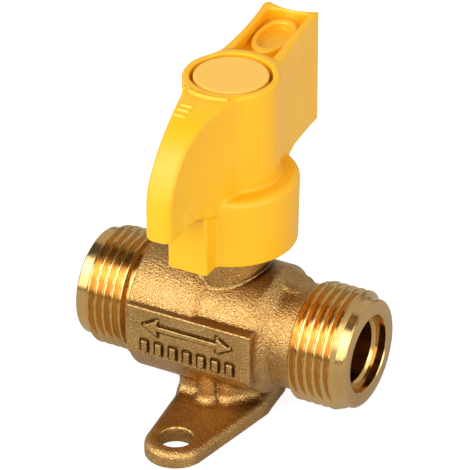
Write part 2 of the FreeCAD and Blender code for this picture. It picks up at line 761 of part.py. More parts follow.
PIECES = {
    "valve_body": valve_body,
    "end_connector": end_connector,
    "connector_o_ring": connector_o_ring,
    "inlet_seat": lambda: seat(-1),
    "inlet_seat_o_ring": lambda: seat_backing_ring(-1),
    "outlet_seat": lambda: seat(1),
    "outlet_seat_o_ring": lambda: seat_backing_ring(1),
    "ball": ball,
    "stem": stem,
    "stem_thrust_washer": thrust_washer,
    "lower_stem_o_ring": lambda: stem_o_ring(stem_groove_heights[0]),
    "upper_stem_o_ring": lambda: stem_o_ring(stem_groove_heights[1]),
    "handle": handle,
    "screw_washer": screw_washer,
    "handle_screw": handle_screw,
    "handle_cap": handle_cap,
}


def main():
    os.makedirs("parts", exist_ok=True)
    for name, make in PIECES.items():
        shape = make()
        solids = shape.Solids
        print(name, "valid", shape.isValid(), "solids", len(solids), "volume", round(shape.Volume, 1))
        shape.exportStep("parts/" + name + ".step")


main()
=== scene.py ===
import functools
import json
import math

import bpy
import numpy as np
from mathutils import Matrix, Vector


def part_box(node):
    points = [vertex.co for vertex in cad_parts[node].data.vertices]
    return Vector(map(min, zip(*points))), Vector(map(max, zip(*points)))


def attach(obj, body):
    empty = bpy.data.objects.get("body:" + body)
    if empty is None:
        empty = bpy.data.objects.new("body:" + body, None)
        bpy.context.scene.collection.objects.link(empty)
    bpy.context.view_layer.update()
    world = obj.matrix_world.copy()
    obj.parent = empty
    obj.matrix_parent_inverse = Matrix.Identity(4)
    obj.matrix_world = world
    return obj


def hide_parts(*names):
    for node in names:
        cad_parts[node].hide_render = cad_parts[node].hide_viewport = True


# Quarter-turn brass gas valve with a wall flange and a yellow lever.
# Shapes are worked out in millimetres, with z measured from the pipe axis, and made in metres.

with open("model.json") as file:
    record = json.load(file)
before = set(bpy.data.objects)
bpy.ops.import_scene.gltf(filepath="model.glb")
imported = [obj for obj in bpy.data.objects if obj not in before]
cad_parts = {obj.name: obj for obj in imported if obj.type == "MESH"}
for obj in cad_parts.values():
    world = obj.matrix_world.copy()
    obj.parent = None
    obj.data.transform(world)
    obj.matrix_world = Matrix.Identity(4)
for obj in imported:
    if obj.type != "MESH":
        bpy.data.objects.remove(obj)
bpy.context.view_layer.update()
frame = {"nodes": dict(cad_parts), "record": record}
MM = 0.001


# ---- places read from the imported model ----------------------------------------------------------
def span(node):
    """Lowest and highest corner of a CAD node, in millimetres."""
    lo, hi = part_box(node)
    return [v / MM for v in lo], [v / MM for v in hi]


BODY_LO, BODY_HI = span("valve_body")
CONN_LO, CONN_HI = span("end_connector")
LEVER_LO, LEVER_HI = span("handle")
CAP_LO, CAP_HI = span("handle_cap")
AXIS = (CONN_LO[2] + CONN_HI[2]) / 2     # pipe axis above the flange's underside
END_LEFT = BODY_LO[0]
END_RIGHT = CONN_HI[0]
THREAD_R = (CONN_HI[1] - CONN_LO[1]) / 2
SEAT_BACK = CONN_LO[0]
TOP = CAP_HI[2] - AXIS                   # flat top of the lever and its cap
CAP_R = (CAP_HI[0] - CAP_LO[0]) / 2
SKIRT_BOTTOM = LEVER_LO[2] - AXIS
NOSE_TIP = -LEVER_LO[1]
FLOOR = -AXIS
MOUNTS = {m["name"]: m for m in frame["record"]["mounts"]}
HOLE_Y = MOUNTS["flange_holes"]["dims"]["spacing_y_mm"] / 2
HOLE_R = MOUNTS["flange_holes"]["dims"]["hole_r_mm"]
EAR_R = BODY_HI[1] - HOLE_Y


# ---- signed distances ---------------------------------------------------------------------------
def join(a, b, r=0.0):
    """Union with a fillet of radius r."""
    if r <= 0:
        return np.minimum(a, b)
    u = np.maximum(r - a, 0)
    v = np.maximum(r - b, 0)
    return np.maximum(r, np.minimum(a, b)) - np.sqrt(u * u + v * v)


def meet(a, b, r=0.0):
    """Intersection with its edge rounded to radius r."""
    if r <= 0:
        return np.maximum(a, b)
    u = np.maximum(r + a, 0)
    v = np.maximum(r + b, 0)
    return np.minimum(-r, np.maximum(a, b)) + np.sqrt(u * u + v * v)


def carve(a, b, r=0.0):
    return meet(a, -b, r)


def slab(t, low, high):
    return np.abs(t - (low + high) / 2) - (high - low) / 2


def polygon(px, py, points):
    """Signed distance to a closed outline."""
    best = None
    inside = None
    for (ax, ay), (bx, by) in zip(points, points[1:] + points[:1]):
        ex, ey = bx - ax, by - ay
        length = ex * ex + ey * ey
        if length < 1e-12:
            continue
        wx, wy = px - ax, py - ay
        t = np.clip((wx * ex + wy * ey) / length, 0, 1)
        dx, dy = wx - ex * t, wy - ey * t
        d = dx * dx + dy * dy
        best = d if best is None else np.minimum(best, d)
        crosses = (ay > py) != (by > py)
        side = (wx * ey - wy * ex < 0) == (ey > 0)
        flip = crosses & side
        inside = flip if inside is None else inside ^ flip
    return np.where(inside, -1.0, 1.0) * np.sqrt(best)


def arc_points(p, q, r, count=14):
    """Points along the circle through p, q and r."""
    ax, ay = p
    bx, by = q
    cx, cy = r
    d = 2 * (ax * (by - cy) + bx * (cy - ay) + cx * (ay - by))
    a2, b2, c2 = ax * ax + ay * ay, bx * bx + by * by, cx * cx + cy * cy
    ux = (a2 * (by - cy) + b2 * (cy - ay) + c2 * (ay - by)) / d
    uy = (a2 * (cx - bx) + b2 * (ax - cx) + c2 * (bx - ax)) / d
    radius = math.hypot(ax - ux, ay - uy)
    start = math.atan2(ay - uy, ax - ux)
    middle = math.atan2(by - uy, bx - ux)
    end = math.atan2(cy - uy, cx - ux)
    turn = (end - start) % (2 * math.pi)
    if (middle - start) % (2 * math.pi) > turn:
        turn -= 2 * math.pi
    angles = [start + turn * i / count for i in range(count + 1)]
    return [(ux + radius * math.cos(a), uy + radius * math.sin(a)) for a in angles]


# ---- meshes -------------------------------------------------------------------------------------
CORNERS = [(i, j, k) for i in (0, 1) for j in (0, 1) for k in (0, 1)]
SEGMENTS = 256            # round the turned ends
CELL_EDGES = [(a, b) for a in range(8) for b in range(a + 1, 8)
              if sum(abs(p - q) for p, q in zip(CORNERS[a], CORNERS[b])) == 1]


def surface_net(shape, low, high, step):
    """Quad mesh of a signed distance's zero level: one vertex for each cell that it passes through."""
    axes = [np.arange(lo - 2 * step, hi + 2 * step + step / 2, step) for lo, hi in zip(low, high)]
    x = axes[0][:, None, None]
    y = axes[1][None, :, None]
    z = axes[2][None, None, :]
    field = np.broadcast_to(shape(x, y, z), [len(a) for a in axes]).astype(np.float32)
    inside = field < 0
    size = [n - 1 for n in field.shape]
    count = np.zeros(size, np.int8)
    for i, j, k in CORNERS:
        count += inside[i:i + size[0], j:j + size[1], k:k + size[2]]
    cells = np.argwhere((count > 0) & (count < 8))
    number = np.full(size, -1, np.int32)
    number[tuple(cells.T)] = np.arange(len(cells))
    values = np.stack([field[tuple((cells + c).T)] for c in CORNERS], 1)
    total = np.zeros((len(cells), 3))
    hits = np.zeros(len(cells))
    for a, b in CELL_EDGES:
        fa, fb = values[:, a], values[:, b]
        mixed = (fa < 0) != (fb < 0)
        t = np.where(mixed, fa / np.where(mixed, fa - fb, 1), 0)[:, None]
        point = np.array(CORNERS[a]) * (1 - t) + np.array(CORNERS[b]) * t
        total += np.where(mixed[:, None], point, 0)
        hits += mixed
    points = np.array([a[0] for a in axes]) + (cells + total / hits[:, None]) * step
    quads = []
    for axis in range(3):
        ahead = [slice(None)] * 3
        behind = [slice(None)] * 3
        ahead[axis] = slice(1, None)
        behind[axis] = slice(0, -1)
        first = inside[tuple(behind)]
        edge = np.argwhere(first != inside[tuple(ahead)])
        u, v = (axis + 1) % 3, (axis + 2) % 3
        keep = (edge[:, u] > 0) & (edge[:, v] > 0) & (edge[:, u] < size[u]) & (edge[:, v] < size[v])
        edge = edge[keep]
        ring = []
        for du, dv in ((1, 1), (0, 1), (0, 0), (1, 0)):
            cell = edge.copy()
            cell[:, u] -= du
            cell[:, v] -= dv
            ring.append(number[tuple(cell.T)])
        quad = np.stack(ring, 1)
        outward = first[tuple(edge.T)]
        quad[~outward] = quad[~outward][:, ::-1]
        quads.append(quad)
    return points, np.concatenate(quads)


def slope_of(shape, p, h=0.03):
    grad = np.zeros_like(p)
    for axis in range(3):
        a, b = p.copy(), p.copy()
        a[:, axis] += h
        b[:, axis] -= h
        grad[:, axis] = shape(*a.T) - shape(*b.T)
    return grad / np.maximum(np.linalg.norm(grad, axis=1), 1e-9)[:, None]


def new_object(name, points, faces, smooth_angle=None):
    """Mesh object from millimetre points whose z starts at the pipe axis."""
    points = np.asarray(points, float) * MM
    points[:, 2] += AXIS * MM
    mesh = bpy.data.meshes.new(name)
    mesh.from_pydata(points.tolist(), [], [list(map(int, f)) for f in faces])
    mesh.update()
    mesh.shade_smooth()
    if smooth_angle:
        mesh.set_sharp_from_angle(angle=math.radians(smooth_angle))
    obj = bpy.data.objects.new(name, mesh)
    bpy.context.scene.collection.objects.link(obj)
    return obj


def sculpt(name, shape, low, high, step):
    """Object with the zero level of shape, and how shut in and how exposed each vertex is."""
    points, quads = surface_net(shape, low, high, step)
    for _ in range(2):
        normal = slope_of(shape, points)
        points = points - normal * np.clip(shape(*points.T), -step, step)[:, None]
    points = np.clip(points, low, high)
    normal = slope_of(shape, points, 0.08)
    # shut: how shut in each vertex is; the materials darken the colour with it as painted shade
    shut = np.zeros(len(points))
    for reach, weight in ((0.5, 0.4), (1.2, 0.35), (3.0, 0.25)):
        away = shape(*(points + normal * reach).T)
        shut += weight * np.clip(1 - away / reach, 0, 1)
    # convex: how far each vertex stands out; the materials lighten outward edges with it
    convex = np.clip(1 + shape(*(points - normal * 0.5).T) / 0.5, 0, 1)
    obj = new_object(name, points, quads)
    for key, data in (("shut", shut), ("convex", convex)):
        layer = obj.data.attributes.new(key, "FLOAT", "POINT")
        layer.data.foreach_set("value", data.astype(np.float32))
    return obj


def turned(name, outline, segments=SEGMENTS, smooth_angle=28):
    """Ring-shaped object turned about the pipe axis; a radius may depend on the angle."""
    angles = [2 * math.pi * j / segments for j in range(segments)]
    points = []
    for x, radius in outline:
        for angle in angles:
            r = radius(angle) if callable(radius) else radius
            points.append((x, r * math.cos(angle), r * math.sin(angle)))
    faces = []
    rows = len(outline)
    for i in range(rows):
        for j in range(segments):
            k = (j + 1) % segments
            n = (i + 1) % rows
            faces.append((i * segments + j, i * segments + k, n * segments + k, n * segments + j))
    return new_object(name, points, faces, smooth_angle)


# ---- casting ------------------------------------------------------------------------------------
CAST_LEFT = -13.4         # where the rough casting starts, on the left
STEP_X = -2.2             # step between the left barrel and the middle one
STEP_HALF = 0.45          # half the length of its slope
STEP_SCALE = 0.71         # turns a fall along a 45 degree slope into a distance from it
MID_START = -8.0          # the middle barrel starts inside the left one
SHOULDER_X = 8.9          # where the slope down to the neck starts
SHOULDER_SLOPE = 1.02     # its length for each millimetre that it falls
SHOULDER_SCALE = 1.43     # turns that slope into a distance
SEAM = 14.9               # joint between the casting and the screwed end connector
BARREL_LEFT_R = 11.6
BARREL_MID_R = 10.75
NECK_R = 8.8
COLLAR_R = 9.2            # machined collar beside the left thread
BOSS_R = 6.4
BOSS_TOP = 21.0

PLATE_LEFT = -13.0        # marking plate
PLATE_RIGHT = 9.6
PLATE_FRONT = 11.9
PLATE_TOP = 4.9
PLATE_BOTTOM = -4.7
PLATE_BEVEL = 0.9
PLATE_LIP = 0.2
PLATE_FOOT_DROP = 1.5
PLATE_FOOT_IN = 4.5
PLATE_ROUND = 0.25
MARK_RAISE = 0.35
MARK_GROOVE_HALF = 0.14   # fine groove round each raised mark
MARK_GROOVE_DEPTH = 0.22
ARROW_HALF = 8.0
ARROW_HEAD = 2.6
ARROW_HEAD_HALF = 1.5
ARROW_SHAFT_HALF = 0.45
ARROW_HEIGHT = 1.9
BARS_EACH_SIDE = 3
BAR_PITCH = 2.6
BAR_HALF = 0.55
BAR_BOTTOM = -3.1
BAR_TOP = -1.0

PAD_TOP = 9.8             # locating pad on the neck
PAD_FALL = 0.18           # fall of its top for each millimetre along the pipe
PAD_ROUND = 0.8

FLANGE_TOP = FLOOR + 2.9
FLANGE_HALF = 7.9
FLANGE_WIDEST = 2.0
FLANGE_ROUND = 1.3
PEDESTAL_Y = 6.0
PEDESTAL_PLAN = [(-6.8, -5.2), (-6.0, -PEDESTAL_Y), (2.6, -PEDESTAL_Y), (6.4, -2.0),
                 (6.8, 5.2), (6.0, PEDESTAL_Y), (-2.6, PEDESTAL_Y), (-6.4, 2.0)]
PEDESTAL_ROUND = 0.4
PILLAR_X = 1.0
PILLAR_R = 1.6

STOP_LUG_ANGLE = math.radians(60)
CAVITY_R = 7.0
CAVITY_HALF = 9.2         # half the cavity's length
SHANK_HOLE_R = 7.5
THROAT_R = 4.3
INLET_HOLE_R = 6.0        # hole under the left thread, which has its own bore
POCKET_R = 4.5            # room for the stem's collar
POCKET_ROOF = 9.95
STEM_HOLE_R = 3.55


def flange_outline():
    """Rhombus with a rounded ear at each end."""
    points = []
    for side in (1, -1):
        for corner, turn in (((side * FLANGE_HALF, -side * FLANGE_WIDEST), 1),
                             ((-side * FLANGE_HALF, side * FLANGE_WIDEST), -1)):
            dx, dy = corner[0], corner[1] - side * HOLE_Y
            angle = math.atan2(dy, dx) + turn * math.acos(EAR_R / math.hypot(dx, dy))
            touch = (EAR_R * math.cos(angle), side * HOLE_Y + EAR_R * math.sin(angle))
            if turn == 1:
                points.append(corner)
                start = touch
            else:
                points += arc_points(start, (0, side * (HOLE_Y + EAR_R)), touch, 24)
                points.append(corner)
    return points


FLANGE_OUTLINE = flange_outline()


def arrow_outline(centre):
    neck = ARROW_HALF - ARROW_HEAD
    right = [(neck, ARROW_SHAFT_HALF), (neck, ARROW_HEAD_HALF), (ARROW_HALF, 0),
             (neck, -ARROW_HEAD_HALF), (neck, -ARROW_SHAFT_HALF)]
    left = [(-x, z) for x, z in right[::-1]]
    return [(centre + x, z + ARROW_HEIGHT) for x, z in right + left]


def plate_marks(x, z):
    """Double arrow over a row of plain bars, as a distance in the plate's face."""
    centre = (PLATE_LEFT + PLATE_RIGHT) / 2
    flat = polygon(x, z, arrow_outline(centre))
    for i in range(-BARS_EACH_SIDE, BARS_EACH_SIDE + 1):
        middle = centre + i * BAR_PITCH
        bar = meet(slab(x, middle - BAR_HALF, middle + BAR_HALF), slab(z, BAR_BOTTOM, BAR_TOP), r=0.2)
        flat = np.minimum(flat, bar)
    return flat


def barrels(x, rho):
    slope = (x - STEP_X - STEP_HALF + (rho - BARREL_LEFT_R)) * STEP_SCALE
    left = meet(meet(rho - BARREL_LEFT_R, slope, r=0.2), CAST_LEFT - x, r=0.5)
    shoulder = (x - SHOULDER_X + (rho - BARREL_MID_R) * SHOULDER_SLOPE) / SHOULDER_SCALE
    middle = meet(meet(rho - BARREL_MID_R, shoulder, r=0.35), MID_START - x)
    neck = meet(rho - NECK_R, slab(x, 0, SEAM), r=0.25)
    return join(join(left, middle, r=0.15), neck, r=0.4)


def marking_plate(x, y, z):
    front = -PLATE_FRONT
    outline = [(front, PLATE_BOTTOM + PLATE_BEVEL), (front, PLATE_TOP), (0, PLATE_TOP),
               (0, PLATE_BOTTOM - PLATE_FOOT_DROP), (front + PLATE_FOOT_IN, PLATE_BOTTOM - PLATE_FOOT_DROP),
               (front + PLATE_BEVEL, PLATE_BOTTOM - PLATE_LIP)]
    length = slab(x, PLATE_LEFT + PLATE_ROUND, PLATE_RIGHT - PLATE_ROUND)
    plate = meet(polygon(y, z, outline) + PLATE_ROUND, length, r=0.3) - PLATE_ROUND
    mark = plate_marks(x, z)
    groove = meet(np.abs(mark - MARK_GROOVE_HALF) - MARK_GROOVE_HALF,
                  slab(y, front - 1, front + MARK_GROOVE_DEPTH), r=0.1)
    plate = carve(plate, groove, r=0.12)
    return join(plate, meet(mark, slab(y, front - MARK_RAISE, -9.0), r=0.16), r=0.1)


def locating_pad(x, y, z):
    plan = meet(slab(x, 8.0, 13.2), slab(y, -1.6, 4.0), r=PAD_ROUND)
    return meet(plan, slab(z + PAD_FALL * (x - 8.4), 5.0, PAD_TOP), r=PAD_ROUND)


def wall_flange(x, y, z):
    """Flange, the block that carries the barrel and a half-round pillar on each of its long sides."""
    flange = meet(polygon(x, y, FLANGE_OUTLINE), z - FLANGE_TOP, r=FLANGE_ROUND)
    flange = meet(flange, FLOOR - z, r=0.25)
    upright = slab(z, FLOOR + 1, 0)
    block = meet(polygon(x, y, PEDESTAL_PLAN) + PEDESTAL_ROUND, upright, r=0.2) - PEDESTAL_ROUND
    pillars = [np.sqrt((x - side * PILLAR_X) ** 2 + (y - side * PEDESTAL_Y) ** 2) - PILLAR_R
               for side in (1, -1)]
    block = join(block, meet(np.minimum(*pillars), upright), r=0.4)
    return join(flange, block, r=1.5)


def stop_lug(x, y, z):
    along = x * math.cos(STOP_LUG_ANGLE) + y * math.sin(STOP_LUG_ANGLE)
    across = -x * math.sin(STOP_LUG_ANGLE) + y * math.cos(STOP_LUG_ANGLE)
    return meet(meet(slab(along, 5.5, 8.6), slab(across, -1.8, 1.8), r=0.3), slab(z, 17.2, 20.2), r=0.3)


def body_cavity(x, z, rho, stem_rho):
    hollows = [meet(rho - CAVITY_R, slab(x, -CAVITY_HALF, CAVITY_HALF + 0.2)),
               meet(rho - SHANK_HOLE_R, slab(x, CAVITY_HALF, SEAM + 2)),
               meet(rho - THROAT_R, slab(x, -14, 0)),
               meet(rho - INLET_HOLE_R, slab(x, CAST_LEFT - 2, CAST_LEFT + 0.5)),
               meet(stem_rho - POCKET_R, slab(z, 0, POCKET_ROOF)),
               meet(stem_rho - STEM_HOLE_R, slab(z, 0, BOSS_TOP + 4))]
    return functools.reduce(np.minimum, hollows)


def casting(x, y, z):
    rho = np.sqrt(y * y + z * z)
    stem_rho = np.sqrt(x * x + y * y)
    boss = meet(stem_rho - BOSS_R, slab(z, 0, BOSS_TOP), r=0.5)
    d = join(barrels(x, rho), boss, r=0.3)
    d = join(d, marking_plate(x, y, z), r=0.45)
    d = join(d, locating_pad(x, y, z), r=0.7)
    d = join(d, wall_flange(x, y, z), r=0.5)
    d = join(d, stop_lug(x, y, z), r=0.3)
    d = carve(d, body_cavity(x, z, rho, stem_rho), r=0.2)
    for side in (1, -1):
        hole = np.sqrt(x * x + (y - side * HOLE_Y) ** 2) - HOLE_R
        d = carve(d, meet(hole, slab(z, FLOOR - 2, 0)), r=0.4)
    return d


# ---- turned ends --------------------------------------------------------------------------------
PITCH = 1.5
DEPTH = 0.92
CREST_HALF = 0.12         # half the width of each crest's flat
FLANK = 0.58
CREST_DROP = 0.03         # keeps the crests inside the nominal radius
ROOT_SOFT = 0.25          # share of the flank's shape that is rounded
RUNOUT_SLOPE = 1.4        # rise of the thread where it starts and where it runs out
RUNOUT = 0.8
ROW_STEP = 0.055
LEAD_R = 9.0              # plain land between the end face and the thread
INLET_LEAD = 2.0
OUTLET_LEAD = 1.7
INLET_CREST = -19.85      # a place where each thread crests, on its -Y side
OUTLET_CREST = 19.98
INLET_STOP = -14.55

PORT_R = 5.3
COUNTERBORE_R = 6.4
COUNTERBORE_DEPTH = 1.65
SHANK_R = 7.45
SHANK_CHAMFER = 0.4
RING_GROOVE_R = 6.55
THROAT_LENGTH = 4.0


def thread_radius(x, angle, crest_at):
    """Radius of a right-hand thread with a narrow crest and slightly rounded root."""
    phase = (x - crest_at) / PITCH - (angle - math.pi) / (2 * math.pi)
    away = abs((phase + 0.5) % 1 - 0.5) * PITCH
    s = min(max((away - CREST_HALF) / FLANK, 0), 1)
    s = (1 - ROOT_SOFT) * s + ROOT_SOFT * s * s * (3 - 2 * s)
    return THREAD_R - CREST_DROP - DEPTH * s


def thread_rows(end, direction, lead, stop, stop_r, crest_at):
    """Outline rows from a land beside the end face to where the thread runs out."""
    rows = []
    start = lead - 0.1
    length = abs(stop - end) - start
    count = int(length / ROW_STEP)
    for i in range(count + 1):
        t = start + length * i / count
        x = end + direction * t

        def radius(angle, x=x, t=t):
            r = min(thread_radius(x, angle, crest_at), LEAD_R + max(t - lead, 0) * RUNOUT_SLOPE)
            left = start + length - t
            return min(r, stop_r + left * RUNOUT_SLOPE) if left < RUNOUT else r
        rows.append((x, radius))
    return rows


def end_bore(end, direction, inner_end):
    """Counterbore and gas way, as rows from the inner end out to the end face."""
    floor = end + direction * COUNTERBORE_DEPTH
    return [(inner_end, PORT_R),
            (floor + direction * 0.5, PORT_R),
            (floor + direction * 0.1, PORT_R + 0.32),
            (floor, PORT_R + 0.5),
            (floor, COUNTERBORE_R),
            (end + direction * 0.18, COUNTERBORE_R),
            (end, COUNTERBORE_R + 0.16),
            (end, LEAD_R - 0.55),
            (end + direction * 0.12, LEAD_R - 0.24),
            (end + direction * 0.4, LEAD_R)]


def inlet_end():
    rows = end_bore(END_LEFT, 1, CAST_LEFT + 0.4)
    rows += thread_rows(END_LEFT, 1, INLET_LEAD, INLET_STOP, COLLAR_R, INLET_CREST)
    rows += [(CAST_LEFT - 0.15, COLLAR_R), (CAST_LEFT + 0.4, COLLAR_R)]
    return turned("inlet_thread", rows[::-1])


def outlet_end():
    stop = SEAM + 0.02
    rows = end_bore(END_RIGHT, -1, SEAT_BACK + THROAT_LENGTH)
    rows += thread_rows(END_RIGHT, -1, OUTLET_LEAD, stop, THREAD_R - DEPTH, OUTLET_CREST)
    rows += [(stop, SHANK_R), (13.85, SHANK_R), (13.8, RING_GROOVE_R), (12.7, RING_GROOVE_R),
             (12.65, SHANK_R), (SEAT_BACK + SHANK_CHAMFER, SHANK_R), (SEAT_BACK, SHANK_R - SHANK_CHAMFER),
             (SEAT_BACK, THROAT_R), (SEAT_BACK + THROAT_LENGTH, THROAT_R)]
    return turned("outlet_thread", rows)


# ---- lever --------------------------------------------------------------------------------------
HUB_R = 7.8
HUB_FOOT = 24.0
LEAN = math.radians(6.2)  # the tail leans off the lever's centre line
TAIL_SHIFT = 0.45
TAIL_END = 25.4
TAIL_WAIST_Y = 15.0
TAIL_WAIST = 4.7
TAIL_END_HALF = 4.8
TAIL_ROOT = 5.3
TAIL_UNDER = 24.4
NOSE_TIP_HALF = 2.3
NOSE_ROOT_HALF = 4.9
NOSE_TIP_ROUND = 1.5
NOSE_UNDER = 26.2
GRIP_UNDER = 26.6
SLOPE_START = 8.5         # reach of the nose's level top
SLOPE_DROP = 15.0
SKIRT_TOP = 27.3
SKIRT_R = 10.75
SKIRT_FLARE = 0.25
SKIRT_INNER_R = 9.2
SKIRT_ROOF = 22.6
GRIP_FOOT = SKIRT_TOP - 3

CAP_GROOVE = 0.55
CAP_SEAT = TOP - 2.6
PLUG_R = 3.65             # middle of the cap's plug ring
PLUG_HALF = 0.5
TRAY_HALF = 3.5
TRAY_FLOOR = TOP - 2.6
RING_Y = 17.2             # plain oval ring in the tray
RING_HALF_X = 2.8
RING_HALF_Y = 5.3
RING_WALL_HALF = 0.42
RING_TOP = TOP - 1.3
ABOVE = TOP + 3           # where cuts from above start
PLUG_LOW = TOP - 5.8

STOP_RIBS = (87.0, -67.0)  # degrees
SOCKET_R = 3.55
SOCKET_HALF = 2.55
SOCKET_ROOF = 30.4
SCREW_HOLE_R = 1.7
WELL_R = 4.2
WELL_FLOOR = 32.4
CORE_ROUND = 0.4

TURN_R = HUB_R + 0.8      # turning arrow
TURN_HALF_WIDTH = 0.32
TURN_MIDDLE = math.radians(-89)
TURN_HALF_LENGTH = 3.6
TURN_TIP = math.radians(-124)
TURN_HEAD = 1.3
TURN_RAISE = 0.45
NOSE_BARS = (11.9, 13.0, 14.1)
NOSE_BAR_HALF = 0.25
NOSE_BAR_RAISE = 0.3


def nose_outline():
    """Nose seen from above: a waisted blade with a rounded tip."""
    r = NOSE_TIP_ROUND
    k = r * (1 - math.sqrt(0.5))
    tip = NOSE_TIP_HALF
    waist = (tip + 0.23 * (NOSE_ROOT_HALF - tip), -(HUB_R + NOSE_TIP) / 2 + 1.4)
    root = (NOSE_ROOT_HALF, -math.sqrt(HUB_R ** 2 - NOSE_ROOT_HALF ** 2))
    right = [(NOSE_ROOT_HALF, 0)] + arc_points(root, waist, (tip, -NOSE_TIP + r), 20)
    right += arc_points((tip, -NOSE_TIP + r), (tip - k, -NOSE_TIP + k), (tip - r, -NOSE_TIP), 8)
    return right + [(-x, y) for x, y in right[::-1]]


def nose_fall(reach):
    """How far the nose's top has fallen at a reach from the stem axis."""
    share = (reach - SLOPE_START) / (NOSE_TIP - SLOPE_START)
    return SLOPE_DROP * (1 - math.sqrt(1 - share ** 2))


def nose_side():
    """Side view of the nose: a quarter ellipse from the level top down to the tip."""
    low = TOP - SLOPE_DROP
    curve = []
    for i in range(33):
        t = math.pi / 2 * i / 32
        curve.append((-SLOPE_START - (NOSE_TIP - SLOPE_START) * math.sin(t), low + SLOPE_DROP * math.cos(t)))
    return [(0, TOP)] + curve + [(-NOSE_TIP, NOSE_UNDER), (-16.0, GRIP_UNDER), (-9.0, GRIP_FOOT),
                                 (0, GRIP_FOOT)]


def tail_outline():
    """Tail seen from above: waisted, with a hollow end and its -X corner rounded and a little proud."""
    root = (TAIL_ROOT, HUB_R - 0.5)
    far_right = (TAIL_END_HALF - 0.3, TAIL_END)
    proud = (0.9 - TAIL_END_HALF, TAIL_END + 0.3)
    corner_middle = (0.1 - TAIL_END_HALF, TAIL_END - 0.1)
    corner_end = (-TAIL_END_HALF - 0.15, TAIL_END - 1.1)
    right = [(TAIL_ROOT, 0)] + arc_points(root, (TAIL_WAIST, TAIL_WAIST_Y), far_right, 20)
    end = arc_points(far_right, (-0.2, TAIL_END - 1.0), proud, 10)
    corner = arc_points(proud, corner_middle, corner_end, 6)
    left = arc_points(corner_end, (-TAIL_WAIST, TAIL_WAIST_Y), (-TAIL_ROOT, HUB_R - 0.5), 20)
    return right + end[1:-1] + corner + left[1:] + [(-TAIL_ROOT, 0)]


NOSE_OUTLINE = nose_outline()
NOSE_SIDE = nose_side()
TAIL_OUTLINE = tail_outline()
TAIL_SIDE = [(0, TOP), (TAIL_END + 3, TOP), (TAIL_END + 3, TAIL_UNDER), (TAIL_END, TAIL_UNDER), (14.5, 25.0),
             (9.0, GRIP_FOOT), (0, GRIP_FOOT)]


def oval(x, y, half_x, half_y):
    k = np.sqrt((x / half_x) ** 2 + (y / half_y) ** 2)
    return (k - 1) * min(half_x, half_y)


def grip(x, y, z, lx, ly, rho):
    hub = meet(rho - HUB_R, slab(z, HUB_FOOT, TOP), r=0.45)
    nose = meet(polygon(x, y, NOSE_OUTLINE), polygon(y, z, NOSE_SIDE), r=0.7)
    tail = meet(polygon(lx, ly, TAIL_OUTLINE), polygon(ly, z, TAIL_SIDE), r=0.6)
    return join(join(hub, nose, r=0.5), tail, r=1.0)


def skirt_and_lug(x, y, z, rho):
    flare = SKIRT_FLARE * (z - SKIRT_BOTTOM) / (SKIRT_TOP - SKIRT_BOTTOM)
    skirt = meet(rho - SKIRT_R - flare, z - SKIRT_TOP, r=1.2)
    skirt = meet(skirt, SKIRT_BOTTOM - z, r=0.35)
    lug = meet(slab(x, -4.0, 3.0), slab(y, -13.9, 0), r=0.6)
    lug = meet(lug, slab(z, SKIRT_BOTTOM, SKIRT_TOP - 0.5), r=0.3)
    return join(skirt, lug, r=0.5)


def skirt_hollow(x, y, z, rho):
    """Room for the boss, less the two ribs that meet the stop lug."""
    hollow = meet(rho - SKIRT_INNER_R, z - SKIRT_ROOF, r=0.5)
    for degrees in STOP_RIBS:
        a = math.radians(degrees)
        along = x * math.cos(a) + y * math.sin(a)
        across = -x * math.sin(a) + y * math.cos(a)
        rib = meet(meet(7.0 - rho, np.abs(across) - 1.7, r=0.2), np.maximum(-along, 16.4 - z))
        hollow = np.maximum(hollow, -rib)
    return hollow


def drive_socket(x, z, rho):
    """Socket for the stem, the screw's hole and the well above it."""
    socket = meet(meet(rho - SOCKET_R, np.abs(x) - SOCKET_HALF), z - SOCKET_ROOF)
    socket = np.minimum(socket, meet(rho - SCREW_HOLE_R, slab(z, 29, 34)))
    socket = np.minimum(socket, meet(rho - WELL_R, slab(z, WELL_FLOOR, ABOVE)))
    return meet(socket, 21 - z)


def tail_tray(lx, ly, z, rho):
    """Tray in the tail's top with a plain oval ring on its floor."""
    tray = meet(slab(lx, -TRAY_HALF, TRAY_HALF), slab(ly, HUB_R - 2, TAIL_END - 1.75), r=0.8)
    tray = meet(tray, HUB_R + 0.6 - rho, r=0.3)
    tray = meet(tray, slab(z, TRAY_FLOOR, ABOVE), r=0.5)
    ring = np.abs(oval(lx, ly - RING_Y, RING_HALF_X, RING_HALF_Y)) - RING_WALL_HALF
    return carve(tray, meet(ring, z - RING_TOP, r=0.3), r=0.4)


def turning_arrow(x, y, z, rho):
    """Raised arc with a head at its end, in front of the hub."""
    angle = np.arctan2(y, x)
    off = np.abs((angle - TURN_MIDDLE + math.pi) % (2 * math.pi) - math.pi) * TURN_R
    arc = meet(np.abs(rho - TURN_R) - TURN_HALF_WIDTH, off - TURN_HALF_LENGTH, r=0.25)
    hx = x - TURN_R * math.cos(TURN_TIP)
    hy = y - TURN_R * math.sin(TURN_TIP)
    ahead = hx * math.sin(TURN_TIP) - hy * math.cos(TURN_TIP)
    beside = hx * math.cos(TURN_TIP) + hy * math.sin(TURN_TIP)
    head = np.maximum(np.abs(beside) * 0.85 + ahead * 0.52, -TURN_HEAD - ahead)
    return meet(np.minimum(arc, head), slab(z, TOP - 1, TOP + TURN_RAISE), r=0.15)


